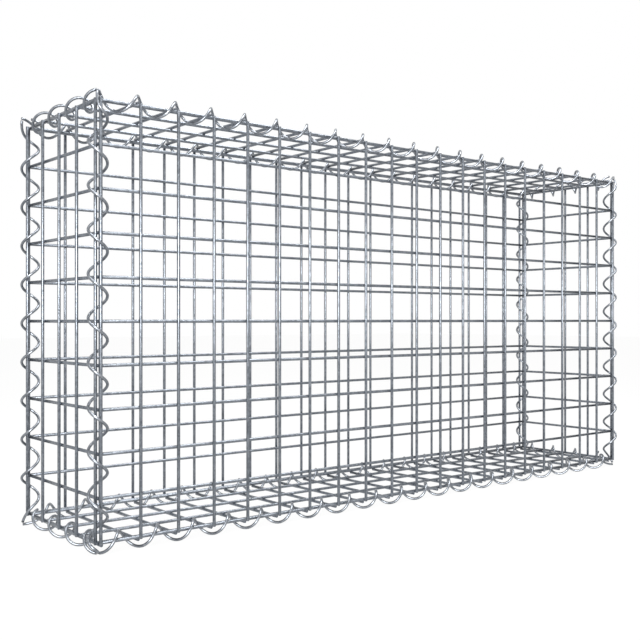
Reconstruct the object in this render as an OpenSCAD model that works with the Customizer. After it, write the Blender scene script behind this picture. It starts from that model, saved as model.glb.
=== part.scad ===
// Welded-wire gabion basket, empty, laced shut along all twelve edges.
// Millimetres. +X runs along the length, +Y goes back, +Z is up.
// The origin is on the ground under the middle of the basket.

/* [Basket] */
// Mesh opening, from wire axis to wire axis
mesh = 50; // [40:1:80]
// Openings along the length
bays_long = 20; // [6:1:40]
// Openings from front to back
bays_deep = 4; // [2:1:12]
// Openings from bottom to top
bays_high = 10; // [3:1:20]

/* [Mesh wire] */
// Diameter of the panel wire
wire_d = 4; // [3:0.1:5]
// How far crossing wires sink into each other at a weld
weld_sink = 0.6; // [0.3:0.05:1]
// How far wires run on past their last weld
wire_tail = 2; // [1:0.1:2.5]
// How far the front and back rails run past the corner uprights
rail_tail = 1.6; // [0.5:0.1:3]
// How far the cross wires of lid and base stand out past their edge wires
stub = 5.7; // [3:0.1:8]
// Gap between pieces that rest against each other
clearance = 0.3; // [0.2:0.05:0.6]

/* [Lacing spirals] */
// Diameter of the spiral wire
spiral_wire_d = 3.5; // [2.5:0.1:4]
// Outer diameter of a spiral
spiral_d = 24.8; // [22:0.1:32]
// Share of a turn by which spirals stop short of a corner
end_trim = 0.03; // [0.02:0.005:0.1]
// Share of a turn left off one spiral where two would cross at a corner
crossing_trim = 0.5; // [0.4:0.05:0.6]

/* [Hidden] */

zinc = [0.72, 0.74, 0.77];
spiral_zinc = [0.66, 0.68, 0.70];

// Sides of a wire in the panels and in the spirals, and rings in one turn
bar_sides = 8;
spiral_sides = 6;
rings_per_turn = 8;

half_long = bays_long * mesh / 2;
half_deep = bays_deep * mesh / 2;
high = bays_high * mesh;
wire_r = wire_d / 2;

// Axis to axis of two welded wires that cross
layer = wire_d - weld_sink;

// End panels stand between the front and back panels
end_upright_x = half_long + rail_tail + clearance + wire_r;
end_rail_x = end_upright_x - layer;
front_rail_y = half_deep + clearance + wire_r;
front_upright_y = front_rail_y + layer;

// Lid and base: long wires inside, cross wires outside
long_wire_out = wire_d + clearance;
cross_wire_out = long_wire_out + layer;

// Spirals: centre line, and the offset of each axis that seats it on the wires
spiral_r = (spiral_d - spiral_wire_d) / 2;
spiral_bore_r = spiral_r - spiral_wire_d / 2;
seat_out = cross_wire_out + wire_r + clearance - spiral_bore_r;
axis_y = front_upright_y + wire_r + clearance - spiral_bore_r;
axis_x = end_rail_x;

// The lowest turns of the bottom spirals stand on the ground
lift = spiral_d / 2 + seat_out;

// A straight wire along +Z from a to b, with flats on its X and Y sides
module wire(a, b) {
  translate([0, 0, a])
    rotate([0, 0, 180 / bar_sides])
      cylinder(r = wire_r / cos(180 / bar_sides), h = b - a, $fn = bar_sides);
}

// A flat welded mesh in the XY plane of a panel: `cols` bays along X with
// wires along Y on the +Z side, and `rows` bays along Y with wires along X at Z = 0
module welded_mesh(cols, rows, tail_x, tail_y) {
  half_x = cols * mesh / 2;
  half_y = rows * mesh / 2;
  for (row = [0 : rows])
    translate([0, row * mesh - half_y, 0])
      rotate([0, 90, 0]) wire(-half_x - tail_x, half_x + tail_x);
  for (col = [0 : cols])
    translate([col * mesh - half_x, 0, layer])
      rotate([-90, 0, 0]) wire(-half_y - tail_y, half_y + tail_y);
}

// One ring of points round the centre line of a spiral, `turn` turns along it
function spiral_ring(turn, hand, phase) =
  let (
    angle = phase + hand * 360 * turn,
    out = [cos(angle), sin(angle), 0],
    run = hand * 2 * PI * spiral_r,
    along = [-run * sin(angle), run * cos(angle), mesh] / norm([run, mesh]),
    side = cross(along, out)
  )
  [for (k = [0 : spiral_sides - 1])
    let (a = 360 * k / spiral_sides)
      spiral_r * out + [0, 0, turn * mesh]
        + spiral_wire_d / 2 * (cos(a) * out + sin(a) * side)];

// A lacing spiral along +Z: one turn to a bay, from Z = 0 upwards.
// hand is 1 for a right-hand helix and -1 for a left-hand one.
module spiral(bays, hand, phase, last_trim = end_trim) {
  last = bays - last_trim;
  whole = [for (k = [1 : bays * rings_per_turn - 1]) if (k / rings_per_turn < last) k / rings_per_turn];
  turns = concat([end_trim], whole, [last]);
  rings = len(turns);
  points = [for (t = turns) each spiral_ring(t, hand, phase)];
  walls = [for (i = [0 : rings - 2], k = [0 : spiral_sides - 1])
    let (
      next = (k + 1) % spiral_sides,
      a = i * spiral_sides + k,
      b = i * spiral_sides + next,
      c = a + spiral_sides,
      d = b + spiral_sides
    )
    // Each quad is split along the diagonal that bulges outwards
    each hand < 0 ? [[a, c, d], [a, d, b]] : [[a, c, b], [b, c, d]]];
  first_cap = [for (k = [0 : spiral_sides - 1]) k];
  last_cap = [for (k = [spiral_sides - 1 : -1 : 0]) (rings - 1) * spiral_sides + k];
  polyhedron(points = points, faces = concat(walls, [first_cap, last_cap]));
}

// Turns a panel drawn in XY upright, facing -Y
module facing_front() {
  rotate([90, 0, 0]) children();
}

module front_panel() {
  color(zinc)
    translate([0, -front_rail_y, lift + high / 2])
      facing_front() welded_mesh(bays_long, bays_high, rail_tail, wire_tail);
}

module back_panel() {
  color(zinc)
    translate([0, front_rail_y, lift + high / 2])
      rotate([0, 0, 180])
        facing_front() welded_mesh(bays_long, bays_high, rail_tail, wire_tail);
}

module left_panel() {
  color(zinc)
    translate([-end_rail_x, 0, lift + high / 2])
      rotate([0, 0, -90])
        facing_front() welded_mesh(bays_deep, bays_high, 0, wire_tail);
}

module right_panel() {
  color(zinc)
    translate([end_rail_x, 0, lift + high / 2])
      rotate([0, 0, 90])
        facing_front() welded_mesh(bays_deep, bays_high, 0, wire_tail);
}

module lid_panel() {
  color(zinc)
    translate([0, 0, lift + high + long_wire_out])
      welded_mesh(bays_long, bays_deep, wire_tail, stub);
}

module base_panel() {
  color(zinc)
    translate([0, 0, lift - long_wire_out])
      rotate([180, 0, 0])
        welded_mesh(bays_long, bays_deep, wire_tail, stub);
}

// An upright spiral at a corner; its turns stand out furthest at each rail
module corner_spiral(side_x, side_y) {
  color(spiral_zinc)
    translate([side_x * axis_x, side_y * axis_y, lift])
      spiral(bays_high, side_x * side_y * -1, side_x > 0 ? 0 : 180);
}

// Height of the axis of a spiral on the lid (side_z 1) or on the base (side_z -1)
function edge_z(side_z) = lift + (side_z > 0 ? high + seat_out : -seat_out);

// A spiral along X, on a front or back edge of the lid or base
module long_edge_spiral(side_y, side_z, hand, last_trim = end_trim) {
  color(spiral_zinc)
    translate([-half_long, side_y * axis_y, edge_z(side_z)])
      rotate([0, 90, 0])
        spiral(bays_long, hand, side_z > 0 ? 180 : 0, last_trim);
}

// A spiral along Y, on an end edge of the lid or base
module end_edge_spiral(side_x, side_z, hand) {
  color(spiral_zinc)
    translate([side_x * axis_x, half_deep, edge_z(side_z)])
      rotate([90, 0, 0])
        spiral(bays_deep, hand, side_z * 90);
}

module spiral_front_left() { corner_spiral(-1, -1); }
module spiral_front_right() { corner_spiral(1, -1); }
module spiral_back_left() { corner_spiral(-1, 1); }
module spiral_back_right() { corner_spiral(1, 1); }
module spiral_top_front() { long_edge_spiral(-1, 1, -1); }
module spiral_top_back() { long_edge_spiral(1, 1, -1); }
module spiral_bottom_front() { long_edge_spiral(-1, -1, -1); }
module spiral_bottom_back() { long_edge_spiral(1, -1, 1, crossing_trim); }
module spiral_top_left() { end_edge_spiral(-1, 1, -1); }
module spiral_top_right() { end_edge_spiral(1, 1, -1); }
module spiral_bottom_left() { end_edge_spiral(-1, -1, 1); }
module spiral_bottom_right() { end_edge_spiral(1, -1, -1); }

front_panel();
back_panel();
left_panel();
right_panel();
base_panel();
lid_panel();
spiral_front_left();
spiral_front_right();
spiral_back_left();
spiral_back_right();
spiral_top_front();
spiral_top_back();
spiral_bottom_front();
spiral_bottom_back();
spiral_top_left();
spiral_top_right();
spiral_bottom_left();
spiral_bottom_right();
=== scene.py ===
"""Gabion basket: welded-wire panels and lacing spirals, dressed in galvanised zinc.

Laid out as an add-on with one operator for each group of like pieces, and run as a script.
"""

import math
from typing import NamedTuple

import bmesh
import bpy
from bpy.props import FloatProperty, FloatVectorProperty, IntProperty, PointerProperty
from mathutils import Matrix, Vector


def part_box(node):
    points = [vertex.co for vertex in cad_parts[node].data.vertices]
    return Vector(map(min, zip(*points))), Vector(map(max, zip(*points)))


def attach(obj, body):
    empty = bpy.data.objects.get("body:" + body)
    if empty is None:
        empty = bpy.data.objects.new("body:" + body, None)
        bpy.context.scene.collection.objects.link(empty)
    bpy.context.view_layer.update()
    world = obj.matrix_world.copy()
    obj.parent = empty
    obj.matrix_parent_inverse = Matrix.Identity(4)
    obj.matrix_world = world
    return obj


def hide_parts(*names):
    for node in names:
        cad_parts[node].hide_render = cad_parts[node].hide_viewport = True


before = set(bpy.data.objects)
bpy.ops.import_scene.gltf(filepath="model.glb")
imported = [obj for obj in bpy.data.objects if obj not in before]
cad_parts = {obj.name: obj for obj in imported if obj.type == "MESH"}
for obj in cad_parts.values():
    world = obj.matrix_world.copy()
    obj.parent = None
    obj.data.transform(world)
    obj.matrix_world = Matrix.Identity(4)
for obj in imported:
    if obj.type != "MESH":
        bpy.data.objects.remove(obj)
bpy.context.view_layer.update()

bl_info = {
    "name": "Gabion Basket",
    "version": (1, 0, 0),
    "blender": (4, 5, 0),
    "location": "View3D > Sidebar > Gabion",
    "description": "Builds a welded-wire gabion basket around its packed frame",
    "category": "Add Mesh",
}

MM = 0.001
X, Y, Z = 0, 1, 2
WHITE = (1, 1, 1, 1)
ROOT = "root"
IMAGE_PIXELS = 640
SENSOR_MM = 36.0

# Sockets of the Mix node, whose names repeat for each kind of data
MIX_FACTOR = 0
MIX_FLOAT_A, MIX_FLOAT_B = 2, 3
MIX_COLOUR_A, MIX_COLOUR_B = 6, 7
MIX_FLOAT_RESULT, MIX_COLOUR_RESULT = 0, 2

# Each panel: axis of its normal, which way that points,
# run of the outer wires, run of the inner wires
PANELS = {
    "front_panel": (Y, -1, Z, X),
    "back_panel": (Y, 1, Z, X),
    "left_panel": (X, -1, Z, Y),
    "right_panel": (X, 1, Z, Y),
    "base_panel": (Z, -1, Y, X),
    "lid_panel": (Z, 1, Y, X),
}
WALL_PANELS = ("front_panel", "back_panel", "left_panel", "right_panel")
FLAT_PANELS = ("base_panel", "lid_panel")

# Turns over which the end of a spiral is bent to its tip
BEND_TURNS = 0.25


class SpiralEnd(NamedTuple):
    """Where a spiral starts or stops, and how its tip leaves the helix."""

    trim: float = 0.02  # turns short of the corner, or past it if negative
    drawn_out: float = 0.0  # pitches further along the axis
    drawn_in: float = 0.0  # share of the radius nearer to the axis
    held_back: float = 0.0  # turns less round the axis


PLAIN = SpiralEnd()
SHORT = SpiralEnd(trim=0.5)  # makes room for a spiral that crosses
EDGE_TIP = SpiralEnd(drawn_out=0.24)
CORNER_TIP = SpiralEnd(drawn_out=0.192)
NEAR_TOP_TIP = SpiralEnd(drawn_out=0.232, drawn_in=0.65, held_back=0.14)
NEAR_FOOT_TIP = SpiralEnd(trim=-0.2, drawn_in=0.5)

LEFT, RIGHT = (-1, 0, 0), (1, 0, 0)
FORWARD = (0, -1, 0)
DOWN, UP = (0, 0, -1), (0, 0, 1)
LEFT_HAND, RIGHT_HAND = -1, 1

# Each spiral: the way it runs, the side it starts on, the hand of its helix, its first and last end
SPIRALS = {
    "spiral_front_left": (UP, LEFT, LEFT_HAND, NEAR_FOOT_TIP, NEAR_TOP_TIP),
    "spiral_front_right": (UP, RIGHT, RIGHT_HAND, CORNER_TIP, CORNER_TIP),
    "spiral_back_left": (UP, LEFT, RIGHT_HAND, CORNER_TIP, CORNER_TIP),
    "spiral_back_right": (UP, RIGHT, LEFT_HAND, PLAIN, PLAIN),
    "spiral_top_front": (RIGHT, UP, LEFT_HAND, PLAIN, EDGE_TIP),
    "spiral_top_back": (RIGHT, UP, LEFT_HAND, EDGE_TIP, PLAIN),
    "spiral_bottom_front": (RIGHT, DOWN, LEFT_HAND, PLAIN, EDGE_TIP),
    "spiral_bottom_back": (RIGHT, DOWN, LEFT_HAND, EDGE_TIP, PLAIN),
    "spiral_top_left": (FORWARD, UP, LEFT_HAND, PLAIN, PLAIN),
    "spiral_top_right": (FORWARD, UP, LEFT_HAND, PLAIN, PLAIN),
    "spiral_bottom_left": (FORWARD, DOWN, RIGHT_HAND, SHORT, PLAIN),
    "spiral_bottom_right": (FORWARD, DOWN, RIGHT_HAND, PLAIN, SHORT),
}
CORNER_SPIRALS = tuple(name for name, (run, *_) in SPIRALS.items() if run == UP)
EDGE_SPIRALS = tuple(name for name in SPIRALS if name not in CORNER_SPIRALS)


def hex_colour(text):
    """An sRGB hex value such as #A8ADB5 as a linear colour."""
    channels = [int(text[i : i + 2], 16) / 255 for i in (1, 3, 5)]
    return tuple(c / 12.92 if c <= 0.04045 else ((c + 0.055) / 1.055) ** 2.4 for c in channels)


class WireSizes(bpy.types.PropertyGroup):
    """Sizes of the wire, the mesh and the spirals."""

    pitch: FloatProperty(
        name="Mesh", description="Wire axis to wire axis", default=50 * MM, unit="LENGTH"
    )
    wire: FloatProperty(
        name="Panel wire", description="Diameter of the panel wire", default=4 * MM, unit="LENGTH"
    )
    wire_sides: IntProperty(
        name="Wire sides", description="Sides of a round wire", default=14, min=6
    )
    cut_edge: FloatProperty(
        name="Cut edge",
        description="Rounding of a sheared wire end",
        default=0.4 * MM,
        unit="LENGTH",
    )
    wire_tail: FloatProperty(
        name="Wire tail",
        description="Run of a wire past its last weld",
        default=2 * MM,
        unit="LENGTH",
    )
    long_rail_inset: FloatProperty(
        name="Rail inset",
        description="How far front and back rails stop short of the panel's edge",
        default=0.4 * MM,
        unit="LENGTH",
    )
    end_rail_inset: FloatProperty(
        name="End rail inset",
        description="How far the end panels' rails stop short of the panel's edge",
        default=2 * MM,
        unit="LENGTH",
    )
    lid_drop: FloatProperty(
        name="Lid drop",
        description="How far lid and base lie further in than their solids",
        default=3.9 * MM,
        unit="LENGTH",
    )
    lid_inset: FloatVectorProperty(
        name="Lid inset",
        description="How far lid and base stop short of their solids at each end and side",
        size=2,
        default=(3.8 * MM, 5.7 * MM),
        unit="LENGTH",
    )
    weld_width: FloatProperty(
        name="Weld width",
        description="Width of the squeezed metal at a weld",
        default=4.6 * MM,
        unit="LENGTH",
    )
    weld_height: FloatProperty(
        name="Weld height",
        description="Height of the squeezed metal at a weld",
        default=2 * MM,
        unit="LENGTH",
    )
    spiral_wire: FloatProperty(
        name="Spiral wire",
        description="Diameter of the spiral wire",
        default=3.5 * MM,
        unit="LENGTH",
    )
    spiral_steps: IntProperty(
        name="Spiral steps", description="Rings in one turn of a spiral", default=28, min=8
    )


class ZincColours(bpy.types.PropertyGroup):
    """Colours of the galvanised wire and of the studio."""

    bright: FloatVectorProperty(
        name="Bright zinc",
        description="Clean zinc",
        subtype="COLOR",
        default=hex_colour("#8A8F96"),
    )
    dull: FloatVectorProperty(
        name="Dull zinc",
        description="Zinc where it has dulled",
        subtype="COLOR",
        default=hex_colour("#656A71"),
    )
    spiral_bright: FloatVectorProperty(
        name="Bright spiral",
        description="Clean spiral wire",
        subtype="COLOR",
        default=hex_colour("#93979D"),
    )
    spiral_dull: FloatVectorProperty(
        name="Dull spiral",
        description="Spiral wire where it has dulled",
        subtype="COLOR",
        default=hex_colour("#6F7379"),
    )
    scorch: FloatVectorProperty(
        name="Weld scorch",
        description="Zinc burnt grey at a weld",
        subtype="COLOR",
        default=hex_colour("#5B6069"),
    )
    floor: FloatVectorProperty(
        name="Floor",
        description="Pale studio floor",
        subtype="COLOR",
        default=hex_colour("#F4F4F2"),
    )


def wire_sizes():
    return bpy.context.scene.gabion_sizes


def zinc_colours():
    return bpy.context.scene.gabion_colours


def add_node(tree, kind, settings=None, values=None, links=None):
    """Adds a shader node, sets its properties and socket values, and links its inputs."""
    node = tree.nodes.new(kind)
    for name, value in (settings or {}).items():
        setattr(node, name, value)
    for socket, value in (values or {}).items():
        node.inputs[socket].default_value = value
    for socket, source in (links or {}).items():
        tree.links.new(source, node.inputs[socket])
    return node


def empty_material(name):
    material = bpy.data.materials.new(name)
    material.use_nodes = True
    material.node_tree.nodes.clear()
    return material


def galvanised_wire(name, bright, dull):
    """Hot-dip galvanised drawn wire: a satin grey skin of zinc with soft cloudy patches
    and a fine grain that breaks up the highlight along the wire."""
    cloud_mm = 9.0
    cloud_detail = 3.0
    spangle_mm = 2.4
    spangle_share = 0.35
    dullest_patch, brightest_patch = 0.3, 0.7
    # Real zinc grain is finer than this; it is drawn coarse enough to show
    grain_mm = 0.7
    grain_detail = 4.0
    grain_depth_mm = 0.1
    grain_strength = 0.12
    smoothest, roughest = 0.26, 0.38
    material = empty_material(name)
    tree = material.node_tree
    place = add_node(tree, "ShaderNodeTexCoord").outputs["Object"]
    cloud = add_node(
        tree,
        "ShaderNodeTexNoise",
        values={"Scale": 1 / (cloud_mm * MM), "Detail": cloud_detail},
        links={"Vector": place},
    )
    spangle = add_node(
        tree,
        "ShaderNodeTexVoronoi",
        values={"Scale": 1 / (spangle_mm * MM)},
        links={"Vector": place},
    )
    grain = add_node(
        tree,
        "ShaderNodeTexNoise",
        values={"Scale": 1 / (grain_mm * MM), "Detail": grain_detail},
        links={"Vector": place},
    )
    patches = add_node(
        tree,
        "ShaderNodeMix",
        {"data_type": "FLOAT"},
        {MIX_FACTOR: spangle_share},
        {MIX_FLOAT_A: cloud.outputs["Fac"], MIX_FLOAT_B: spangle.outputs["Color"]},
    )
    spread = add_node(
        tree,
        "ShaderNodeMapRange",
        values={"From Min": dullest_patch, "From Max": brightest_patch},
        links={"Value": patches.outputs[MIX_FLOAT_RESULT]},
    )
    colour = add_node(
        tree,
        "ShaderNodeMix",
        {"data_type": "RGBA"},
        {MIX_COLOUR_A: (*dull, 1), MIX_COLOUR_B: (*bright, 1)},
        {MIX_FACTOR: spread.outputs["Result"]},
    )
    rough = add_node(
        tree,
        "ShaderNodeMapRange",
        values={"To Min": smoothest, "To Max": roughest},
        links={"Value": grain.outputs["Fac"]},
    )
    bump = add_node(
        tree,
        "ShaderNodeBump",
        values={"Strength": grain_strength, "Distance": grain_depth_mm * MM},
        links={"Height": grain.outputs["Fac"]},
    )
    shader = add_node(
        tree,
        "ShaderNodeBsdfPrincipled",
        values={"Metallic": 1.0},
        links={
            "Base Color": colour.outputs[MIX_COLOUR_RESULT],
            "Roughness": rough.outputs["Result"],
            "Normal": bump.outputs["Normal"],
        },
    )
    add_node(tree, "ShaderNodeOutputMaterial", links={"Surface": shader.outputs["BSDF"]})
    return material


def scorched_weld(name, scorch, dull):
    """Resistance weld on zinc-coated wire: matt grey, mottled where the zinc boiled away."""
    mottle_mm = 1.2
    mottle_detail = 3.0
    mottle_depth_mm = 0.2
    mottle_strength = 0.4
    roughness = 0.6
    material = empty_material(name)
    tree = material.node_tree
    place = add_node(tree, "ShaderNodeTexCoord").outputs["Object"]
    mottle = add_node(
        tree,
        "ShaderNodeTexNoise",
        values={"Scale": 1 / (mottle_mm * MM), "Detail": mottle_detail},
        links={"Vector": place},
    )
    colour = add_node(
        tree,
        "ShaderNodeMix",
        {"data_type": "RGBA"},
        {MIX_COLOUR_A: (*scorch, 1), MIX_COLOUR_B: (*dull, 1)},
        {MIX_FACTOR: mottle.outputs["Fac"]},
    )
    bump = add_node(
        tree,
        "ShaderNodeBump",
        values={"Strength": mottle_strength, "Distance": mottle_depth_mm * MM},
        links={"Height": mottle.outputs["Fac"]},
    )
    shader = add_node(
        tree,
        "ShaderNodeBsdfPrincipled",
        values={"Metallic": 1.0, "Roughness": roughness},
        links={"Base Color": colour.outputs[MIX_COLOUR_RESULT], "Normal": bump.outputs["Normal"]},
    )
    add_node(tree, "ShaderNodeOutputMaterial", links={"Surface": shader.outputs["BSDF"]})
    return material


def white_rays(tree):
    """1 for the rays that see the studio as white: from the camera, glossy or transmitted."""
    path = add_node(tree, "ShaderNodeLightPath").outputs
    rays = path["Is Camera Ray"]
    for kind in ("Is Glossy Ray", "Is Transmission Ray"):
        either = add_node(
            tree, "ShaderNodeMath", {"operation": "MAXIMUM"}, links={0: rays, 1: path[kind]}
        )
        rays = either.outputs[0]
    return rays


def pale_floor(name, colour):
    """Matt studio floor: white to the eye and in reflections, with a little of the shadow kept."""
    shadow_share = 0.05
    material = empty_material(name)
    tree = material.node_tree
    share = add_node(
        tree,
        "ShaderNodeMath",
        {"operation": "MULTIPLY"},
        {1: 1 - shadow_share},
        {0: white_rays(tree)},
    )
    matt = add_node(tree, "ShaderNodeBsdfDiffuse", values={"Color": (*colour, 1)})
    white = add_node(tree, "ShaderNodeEmission", values={"Color": WHITE, "Strength": 1.0})
    mixed = add_node(
        tree,
        "ShaderNodeMixShader",
        links={0: share.outputs[0], 1: matt.outputs[0], 2: white.outputs[0]},
    )
    add_node(tree, "ShaderNodeOutputMaterial", links={"Surface": mixed.outputs[0]})
    return material


def axis_vector(axis, length=1.0):
    vector = Vector((0, 0, 0))
    vector[axis] = length
    return vector


def grid(axis):
    """Places of the wires along an axis, counted from the panels that end on the grid."""
    sizes = wire_sizes()
    low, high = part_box("left_panel" if axis == Y else "front_panel")
    bays = round((high[axis] - low[axis] - sizes.wire) / sizes.pitch)
    middle = (low[axis] + high[axis]) / 2
    return [middle + (i - bays / 2) * sizes.pitch for i in range(bays + 1)]


def add_wire(bm, start, end, radius, sides, cut_edge):
    """A straight round wire with sheared, slightly rounded ends."""
    run = end - start
    turn = run.to_track_quat("Z", "Y").to_matrix().to_4x4()
    made = bmesh.ops.create_cone(
        bm,
        cap_ends=True,
        segments=sides,
        radius1=radius,
        radius2=radius,
        depth=run.length,
        matrix=Matrix.Translation((start + end) / 2) @ turn,
    )
    # Kept in order, so that every run gives the same mesh
    faces = dict.fromkeys(face for vert in made["verts"] for face in vert.link_faces)
    caps = [face for face in faces if len(face.verts) == sides]
    for face in faces:
        face.smooth = len(face.verts) != sides
    rims = [edge for face in caps for edge in face.edges]
    bmesh.ops.bevel(
        bm, geom=rims, offset=cut_edge, affect="EDGES", segments=1, profile=0.5, material=-1
    )


def add_weld(bm, place, normal, width, height):
    """A flat bead of metal squeezed out where two wires were pressed together."""
    segments, rings = 8, 4
    weld_material = 1
    turn = normal.to_track_quat("Z", "Y").to_matrix().to_4x4()
    shape = Matrix.Diagonal((width / 2, width / 2, height / 2, 1))
    made = bmesh.ops.create_uvsphere(
        bm,
        u_segments=segments,
        v_segments=rings,
        radius=1.0,
        matrix=Matrix.Translation(place) @ turn @ shape,
    )
    for vert in made["verts"]:
        for face in vert.link_faces:
            face.smooth = True
            face.material_index = weld_material


def finish_piece(bm, name, materials):
    """Turns a bmesh into a piece that stands for the CAD node of that name."""
    mesh = bpy.data.meshes.new(name)
    bm.to_mesh(mesh)
    bm.free()
    piece = bpy.data.objects.new("dressed_" + name, mesh)
    bpy.context.scene.collection.objects.link(piece)
    for material in materials:
        mesh.materials.append(material)
    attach(piece, ROOT)
    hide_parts(name)


def panel_box(name):
    """A panel's box. Lid and base lie between the rails of the walls,
    a little further in than their solids."""
    low, high = (corner.copy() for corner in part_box(name))
    if name in FLAT_PANELS:
        sizes = wire_sizes()
        _, side, *_ = PANELS[name]
        inset = Vector((*sizes.lid_inset, 0))
        drop = axis_vector(Z, -side * sizes.lid_drop)
        low += drop + inset
        high += drop - inset
    return low, high


def panel_grid(name, axis):
    """Places of a panel's wires along an axis; lid and base draw their edge wires in."""
    tail = wire_sizes().wire_tail
    low, high = panel_box(name)
    return [max(low[axis] + tail, min(high[axis] - tail, place)) for place in grid(axis)]


def dress_panel(name, materials):
    """A welded panel: two layers of straight wires with a weld at every crossing."""
    sizes = wire_sizes()
    normal, side, outer_run, inner_run = PANELS[name]
    low, high = panel_box(name)
    radius = sizes.wire / 2
    outer = high[normal] - radius if side > 0 else low[normal] + radius
    inner = low[normal] + radius if side > 0 else high[normal] - radius
    rail_inset = {Z: 0.0, Y: sizes.long_rail_inset, X: sizes.end_rail_inset}[normal]
    outer_places = panel_grid(name, inner_run)
    inner_places = panel_grid(name, outer_run)
    layers = (
        (outer, outer_run, inner_run, outer_places, 0.0),
        (inner, inner_run, outer_run, inner_places, rail_inset),
    )
    bm = bmesh.new()
    for level, run, across, places, inset in layers:
        for place in places:
            line = axis_vector(normal, level) + axis_vector(across, place)
            start = line + axis_vector(run, low[run] + inset)
            end = line + axis_vector(run, high[run] - inset)
            add_wire(bm, start, end, radius, sizes.wire_sides, sizes.cut_edge)
    for outer_place in outer_places:
        for inner_place in inner_places:
            crossing = axis_vector(normal, (outer + inner) / 2)
            crossing += axis_vector(inner_run, outer_place) + axis_vector(outer_run, inner_place)
            add_weld(bm, crossing, axis_vector(normal), sizes.weld_width, sizes.weld_height)
    finish_piece(bm, name, materials)


def end_pull(turns_from_end):
    """1 at the very end of a spiral, falling to 0 where its bend begins."""
    return max(0.0, 1 - turns_from_end / BEND_TURNS) ** 2


class Helix:
    """The centre line of one spiral, with its shaped ends."""

    def __init__(self, name):
        sizes = wire_sizes()
        run, start_side, self.hand, self.start, self.end = SPIRALS[name]
        self.run = Vector(run)
        self.side = Vector(start_side)
        self.pitch = sizes.pitch
        axis = max(range(3), key=lambda i: abs(run[i]))
        low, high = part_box(name)
        across = max(high[i] - low[i] for i in range(3) if i != axis)
        self.radius = (across - sizes.spiral_wire) / 2
        self.centre = (low + high) / 2
        ends = grid(axis)
        self.centre[axis] = ends[0] if run[axis] > 0 else ends[-1]
        self.first = self.start.trim
        self.last = len(ends) - 1 - self.end.trim

    def point(self, turn, shaped=True):
        """The centre line so many turns along, with or without the pull of the ends."""
        first_pull = end_pull(turn - self.first) if shaped else 0.0
        last_pull = end_pull(self.last - turn) if shaped else 0.0
        held = first_pull * self.start.held_back - last_pull * self.end.held_back
        drawn = last_pull * self.end.drawn_out - first_pull * self.start.drawn_out
        share = 1 - first_pull * self.start.drawn_in - last_pull * self.end.drawn_in
        out = self.side.copy()
        out.rotate(Matrix.Rotation(self.hand * math.tau * (turn + held), 3, self.run))
        return self.centre + (turn + drawn) * self.pitch * self.run + share * self.radius * out

    def heading(self, turn, shaped=True):
        """The way the wire runs there."""
        step = 0.001
        return (self.point(turn + step, shaped) - self.point(turn - step, shaped)).normalized()


def dress_spiral(name, material):
    """A lacing spiral: a round section spun round the edge, with its ends bent to their tips."""
    sizes = wire_sizes()
    helix = Helix(name)
    bm = bmesh.new()
    section = helix.heading(helix.first, False).to_track_quat("Z", "Y").to_matrix().to_4x4()
    section.translation = helix.point(helix.first, False)
    sides = sizes.wire_sides
    ring = bmesh.ops.create_circle(
        bm, cap_ends=False, segments=sides, radius=sizes.spiral_wire / 2, matrix=section
    )["verts"]
    turns = helix.last - helix.first
    steps = round(turns * sizes.spiral_steps)
    bmesh.ops.spin(
        bm,
        geom=ring + list(bm.edges),
        cent=helix.centre,
        axis=helix.run,
        dvec=helix.run * sizes.pitch * turns / steps,
        angle=helix.hand * math.tau * turns,
        steps=steps,
        use_merge=False,
    )
    bend_ends(bm, helix, steps, sides)
    for face in bm.faces:
        face.smooth = True
    bmesh.ops.holes_fill(bm, edges=[edge for edge in bm.edges if edge.is_boundary], sides=0)
    bmesh.ops.recalc_face_normals(bm, faces=list(bm.faces))
    finish_piece(bm, name, [material])


def bend_ends(bm, helix, steps, sides):
    """Moves and turns the rings near both ends onto the shaped centre line."""
    bm.verts.ensure_lookup_table()
    for step in range(steps + 1):
        turn = helix.first + (helix.last - helix.first) * step / steps
        if min(turn - helix.first, helix.last - turn) > BEND_TURNS:
            continue
        ring = bm.verts[step * sides : (step + 1) * sides]
        plain = helix.point(turn, False)
        swing = helix.heading(turn, False).rotation_difference(helix.heading(turn))
        bmesh.ops.rotate(bm, verts=ring, cent=plain, matrix=swing.to_matrix())
        bmesh.ops.translate(bm, verts=ring, vec=helix.point(turn) - plain)


def shared_material(name, make, *colours):
    """One material for all pieces of a kind, made the first time it is asked for."""
    return bpy.data.materials.get(name) or make(name, *colours)


def build_panels(names):
    colours = zinc_colours()
    wire = shared_material("galvanised_panel_wire", galvanised_wire, colours.bright, colours.dull)
    weld = shared_material("scorched_weld", scorched_weld, colours.scorch, colours.dull)
    for name in names:
        dress_panel(name, [wire, weld])


def build_spirals(names):
    colours = zinc_colours()
    wire = shared_material(
        "galvanised_spiral_wire", galvanised_wire, colours.spiral_bright, colours.spiral_dull
    )
    for name in names:
        dress_spiral(name, wire)


class GABION_OT_wall_panels(bpy.types.Operator):
    """Builds the front, back and end panels of welded mesh"""

    bl_idname = "gabion.wall_panels"
    bl_label = "Wall Panels"

    def execute(self, context):
        build_panels(WALL_PANELS)
        return {"FINISHED"}


class GABION_OT_flat_panels(bpy.types.Operator):
    """Builds the base and the lid of welded mesh"""

    bl_idname = "gabion.flat_panels"
    bl_label = "Base and Lid"

    def execute(self, context):
        build_panels(FLAT_PANELS)
        return {"FINISHED"}


class GABION_OT_corner_spirals(bpy.types.Operator):
    """Winds the four upright spirals at the corners"""

    bl_idname = "gabion.corner_spirals"
    bl_label = "Corner Spirals"

    def execute(self, context):
        build_spirals(CORNER_SPIRALS)
        return {"FINISHED"}


class GABION_OT_edge_spirals(bpy.types.Operator):
    """Winds the eight spirals along the edges of the lid and base"""

    bl_idname = "gabion.edge_spirals"
    bl_label = "Edge Spirals"

    def execute(self, context):
        build_spirals(EDGE_SPIRALS)
        return {"FINISHED"}


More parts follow.
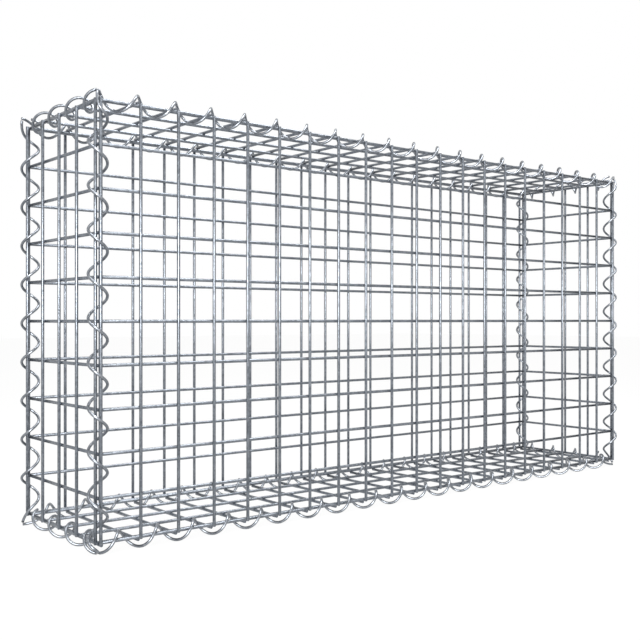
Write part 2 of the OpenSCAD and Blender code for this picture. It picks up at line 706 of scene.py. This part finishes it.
def lay_floor(scene):
    """A wide plain floor that takes the basket's shadow."""
    half_side = 12.0
    bm = bmesh.new()
    bmesh.ops.create_grid(bm, x_segments=1, y_segments=1, size=half_side)
    mesh = bpy.data.meshes.new("studio_floor")
    bm.to_mesh(mesh)
    bm.free()
    floor = bpy.data.objects.new("studio_floor", mesh)
    mesh.materials.append(pale_floor("matt_floor", zinc_colours().floor))
    scene.collection.objects.link(floor)


def light_world(scene):
    """White to the eye and in reflections, and a dimmer white as light on the object."""
    fill_strength = 0.6
    world = bpy.data.worlds.new("studio")
    world.use_nodes = True
    tree = world.node_tree
    tree.nodes.clear()
    strength = add_node(
        tree,
        "ShaderNodeMapRange",
        values={"To Min": fill_strength, "To Max": 1.0},
        links={"Value": white_rays(tree)},
    )
    sky = add_node(
        tree,
        "ShaderNodeBackground",
        values={"Color": WHITE},
        links={"Strength": strength.outputs["Result"]},
    )
    add_node(tree, "ShaderNodeOutputWorld", links={"Surface": sky.outputs[0]})
    scene.world = world


def hang_lamps(scene):
    """A tall softbox beside the camera draws the highlight on the uprights,
    and one above draws that on the rails."""
    aim = Vector((0, 0, 0.25))
    # Each lamp: its place, its width and height, its watts
    lamps = {
        "softbox_top": ((0.0, -0.4, 2.6), (2.0, 0.6), 75.0),
        "softbox_front": ((-1.9, -2.05, 0.9), (0.6, 1.6), 95.0),
    }
    for name, (place, (width, height), watts) in lamps.items():
        light = bpy.data.lights.new(name, "AREA")
        light.shape = "RECTANGLE"
        light.size = width
        light.size_y = height
        light.energy = watts
        lamp = bpy.data.objects.new(name, light)
        lamp.location = place
        lamp.rotation_euler = (aim - Vector(place)).to_track_quat("-Z", "Y").to_euler()
        scene.collection.objects.link(lamp)


def set_camera(scene):
    """A level camera at half the basket's height, off its near left corner."""
    focal_pixels = 917.1
    yaw = math.radians(39.06)
    place = Vector((-0.9582, -1.0612, 0.265))
    camera = bpy.data.cameras.new("photo_camera")
    camera.sensor_width = SENSOR_MM
    camera.lens = focal_pixels / IMAGE_PIXELS * SENSOR_MM
    holder = bpy.data.objects.new("photo_camera", camera)
    holder.location = place
    holder.rotation_euler = (math.pi / 2, 0, -yaw)
    scene.collection.objects.link(holder)
    scene.camera = holder


class GABION_OT_stage(bpy.types.Operator):
    """Sets the floor, the studio light and the camera"""

    bl_idname = "gabion.stage"
    bl_label = "Stage"

    def execute(self, context):
        scene = context.scene
        scene.view_settings.view_transform = "Standard"
        lay_floor(scene)
        light_world(scene)
        hang_lamps(scene)
        set_camera(scene)
        return {"FINISHED"}


class GABION_PT_sidebar(bpy.types.Panel):
    """Lists the steps, the sizes and the colours in the 3D view's sidebar"""

    bl_idname = "GABION_PT_sidebar"
    bl_label = "Gabion Basket"
    bl_space_type = "VIEW_3D"
    bl_region_type = "UI"
    bl_category = "Gabion"

    def draw(self, context):
        for step in STEPS:
            self.layout.operator(step.bl_idname)
        for group in (wire_sizes(), zinc_colours()):
            for name in group.__annotations__:
                self.layout.prop(group, name)


STEPS = (
    GABION_OT_wall_panels,
    GABION_OT_flat_panels,
    GABION_OT_corner_spirals,
    GABION_OT_edge_spirals,
    GABION_OT_stage,
)
CLASSES = (WireSizes, ZincColours, *STEPS, GABION_PT_sidebar)


def register():
    for cls in CLASSES:
        bpy.utils.register_class(cls)
    bpy.types.Scene.gabion_sizes = PointerProperty(type=WireSizes)
    bpy.types.Scene.gabion_colours = PointerProperty(type=ZincColours)


def unregister():
    del bpy.types.Scene.gabion_colours
    del bpy.types.Scene.gabion_sizes
    for cls in reversed(CLASSES):
        bpy.utils.unregister_class(cls)


def main():
    register()
    bpy.ops.gabion.wall_panels()
    bpy.ops.gabion.flat_panels()
    bpy.ops.gabion.corner_spirals()
    bpy.ops.gabion.edge_spirals()
    bpy.ops.gabion.stage()


if __name__ == "__main__":
    main()
